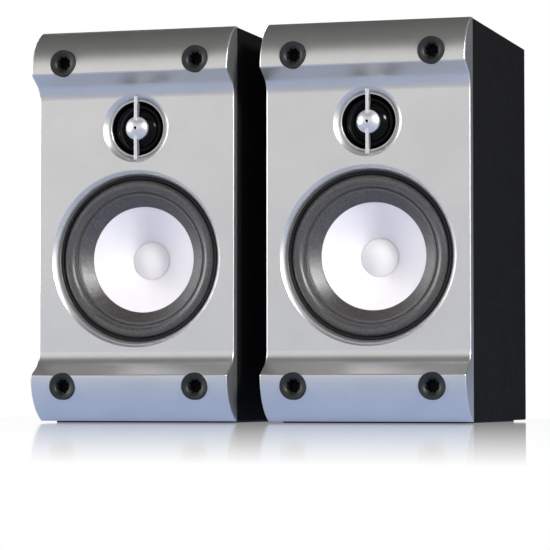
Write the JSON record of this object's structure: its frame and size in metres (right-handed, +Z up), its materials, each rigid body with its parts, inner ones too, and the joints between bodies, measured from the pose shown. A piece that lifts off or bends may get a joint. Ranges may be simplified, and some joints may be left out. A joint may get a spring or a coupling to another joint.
{
  "type": "pair of desktop speakers",
  "caption": "Pair of two-way desktop speakers: black cabinets with silver moulded fronts, white cone woofers, domes behind phase plugs, rear ports, one amplified.",
  "frame": {"origin": "on the floor under the middle of the pair's box", "axes": "+Z up, +X along the pair towards the amplified right speaker, the fronts face -Y"},
  "size_m": [0.268, 0.1914, 0.237],
  "materials": {
    "wrap": "fibreboard under black vinyl with a fine leather grain, dull",
    "board": "fibreboard, black on its face, raw brown at its edges",
    "silver": "moulded plastic with silver metallic paint, satin",
    "socket_rubber": "soft dark grey rubber, slightly glossy",
    "frame_paint": "pressed steel, black powder coat",
    "trim_black": "moulded black ring, satin",
    "surround_rubber": "grey speckled foam rubber, dull",
    "spider_cloth": "impregnated cotton cloth, corrugated",
    "cone": "white coated paper, smooth, slightly lilac",
    "cap": "white coated paper, with a thin beige rim of glue",
    "coil": "brown paper former with a lacquered copper winding",
    "steel": "zinc-plated steel",
    "ferrite": "dark grey ferrite",
    "black_plastic": "moulded black plastic, fine grain",
    "dome": "thin black film, glossy",
    "bright": "moulded plastic with bright silver paint, satin",
    "foot": "sheet of black foam rubber",
    "screw": "steel, black oxide",
    "red_plastic": "moulded red plastic",
    "plate_paint": "steel sheet, black textured paint",
    "circuit": "green circuit board with its parts",
    "core": "varnished steel laminations round a copper coil",
    "jack": "nickel-plated barrels on coloured insulators"
  },
  "bodies": {
    "left_cabinet": {"left_cabinet_sleeve": "wrap", "left_baffle_board": "board", "left_back_board": "board", "left_faceplate": "silver", "left_grille_sockets": "socket_rubber", "left_woofer_frame": "frame_paint", "left_woofer_trim_ring": "trim_black", "left_woofer_surround": "surround_rubber", "left_woofer_spider": "spider_cloth", "left_woofer_top_plate": "steel", "left_woofer_magnet": "ferrite", "left_woofer_yoke": "steel", "left_tweeter_housing": "trim_black", "left_tweeter_motor": "steel", "left_phase_plug": "bright", "left_port_tube": "black_plastic", "left_base_pad": "foot", "left_fixing_screws": "screw", "left_terminal_cup": "black_plastic"},
    "right_cabinet": {"right_cabinet_sleeve": "wrap", "right_baffle_board": "board", "right_back_board": "board", "right_faceplate": "silver", "right_grille_sockets": "socket_rubber", "right_woofer_frame": "frame_paint", "right_woofer_trim_ring": "trim_black", "right_woofer_surround": "surround_rubber", "right_woofer_spider": "spider_cloth", "right_woofer_top_plate": "steel", "right_woofer_magnet": "ferrite", "right_woofer_yoke": "steel", "right_tweeter_housing": "trim_black", "right_tweeter_motor": "steel", "right_phase_plug": "bright", "right_port_tube": "black_plastic", "right_base_pad": "foot", "right_fixing_screws": "screw", "right_terminal_cup": "black_plastic", "right_amp_plate": "plate_paint", "right_amp_board": "circuit", "right_transformer": "core", "right_rca_jacks": "jack", "right_power_switch_body": "black_plastic", "right_mains_inlet": "black_plastic"},
    "left_woofer": {"left_woofer_cone": "cone", "left_woofer_dust_cap": "cap", "left_woofer_voice_coil": "coil"},
    "left_tweeter": {"left_tweeter_dome": "dome"},
    "left_lever_red": {"left_terminal_lever_red": "red_plastic"},
    "left_lever_black": {"left_terminal_lever_black": "black_plastic"},
    "right_woofer": {"right_woofer_cone": "cone", "right_woofer_dust_cap": "cap", "right_woofer_voice_coil": "coil"},
    "right_tweeter": {"right_tweeter_dome": "dome"},
    "right_lever_red": {"right_terminal_lever_red": "red_plastic"},
    "right_lever_black": {"right_terminal_lever_black": "black_plastic"},
    "volume_knob": {"right_volume_knob": "black_plastic"},
    "treble_knob": {"right_treble_knob": "black_plastic"},
    "bass_knob": {"right_bass_knob": "black_plastic"},
    "power_rocker": {"right_power_rocker": "black_plastic"}
  },
  "joints": [
    {"name": "pair_spacing", "type": "slide", "parent": "left_cabinet", "child": "right_cabinet", "axis": [1, 0, 0], "range_m": [-0.0195, 0.3]},
    {"name": "left_woofer_stroke", "type": "slide", "parent": "left_cabinet", "child": "left_woofer", "axis": [0, -1, 0], "range_m": [-0.0035, 0.0035], "stiffness_N_per_m": 1200, "deforming": ["left_woofer_surround", "left_woofer_spider"]},
    {"name": "left_tweeter_stroke", "type": "slide", "parent": "left_cabinet", "child": "left_tweeter", "axis": [0, -1, 0], "range_m": [-0.00025, 0.00025], "stiffness_N_per_m": 1500},
    {"name": "left_lever_red_press", "type": "hinge", "parent": "left_cabinet", "child": "left_lever_red", "pos_m": [-0.061, 0.07275, 0.075], "axis": [-1, 0, 0], "range_deg": [0, 14], "stiffness_Nm_per_rad": 0.3, "springref_deg": -5.73},
    {"name": "left_lever_black_press", "type": "hinge", "parent": "left_cabinet", "child": "left_lever_black", "pos_m": [-0.083, 0.07275, 0.075], "axis": [-1, 0, 0], "range_deg": [0, 14], "stiffness_Nm_per_rad": 0.3, "springref_deg": -5.73},
    {"name": "right_woofer_stroke", "type": "slide", "parent": "right_cabinet", "child": "right_woofer", "axis": [0, -1, 0], "range_m": [-0.0035, 0.0035], "stiffness_N_per_m": 1200, "deforming": ["right_woofer_surround", "right_woofer_spider"]},
    {"name": "right_tweeter_stroke", "type": "slide", "parent": "right_cabinet", "child": "right_tweeter", "axis": [0, -1, 0], "range_m": [-0.00025, 0.00025], "stiffness_N_per_m": 1500},
    {"name": "right_lever_red_press", "type": "hinge", "parent": "right_cabinet", "child": "right_lever_red", "pos_m": [0.07, 0.07425, 0.071], "axis": [-1, 0, 0], "range_deg": [0, 14], "stiffness_Nm_per_rad": 0.3, "springref_deg": -5.73},
    {"name": "right_lever_black_press", "type": "hinge", "parent": "right_cabinet", "child": "right_lever_black", "pos_m": [0.048, 0.07425, 0.071], "axis": [-1, 0, 0], "range_deg": [0, 14], "stiffness_Nm_per_rad": 0.3, "springref_deg": -5.73},
    {"name": "volume_knob_turn", "type": "hinge", "parent": "right_cabinet", "child": "volume_knob", "pos_m": [0.046, 0.08625, 0.133], "axis": [0, -1, 0], "range_deg": [-150, 150]},
    {"name": "treble_knob_turn", "type": "hinge", "parent": "right_cabinet", "child": "treble_knob", "pos_m": [0.074, 0.08625, 0.133], "axis": [0, -1, 0], "range_deg": [-150, 150]},
    {"name": "bass_knob_turn", "type": "hinge", "parent": "right_cabinet", "child": "bass_knob", "pos_m": [0.098, 0.08625, 0.133], "axis": [0, -1, 0], "range_deg": [-150, 150]},
    {"name": "power_rocker_tilt", "type": "hinge", "parent": "right_cabinet", "child": "power_rocker", "pos_m": [0.1005, 0.07925, 0.099], "axis": [-1, 0, 0], "range_deg": [0, 20]}
  ]
}
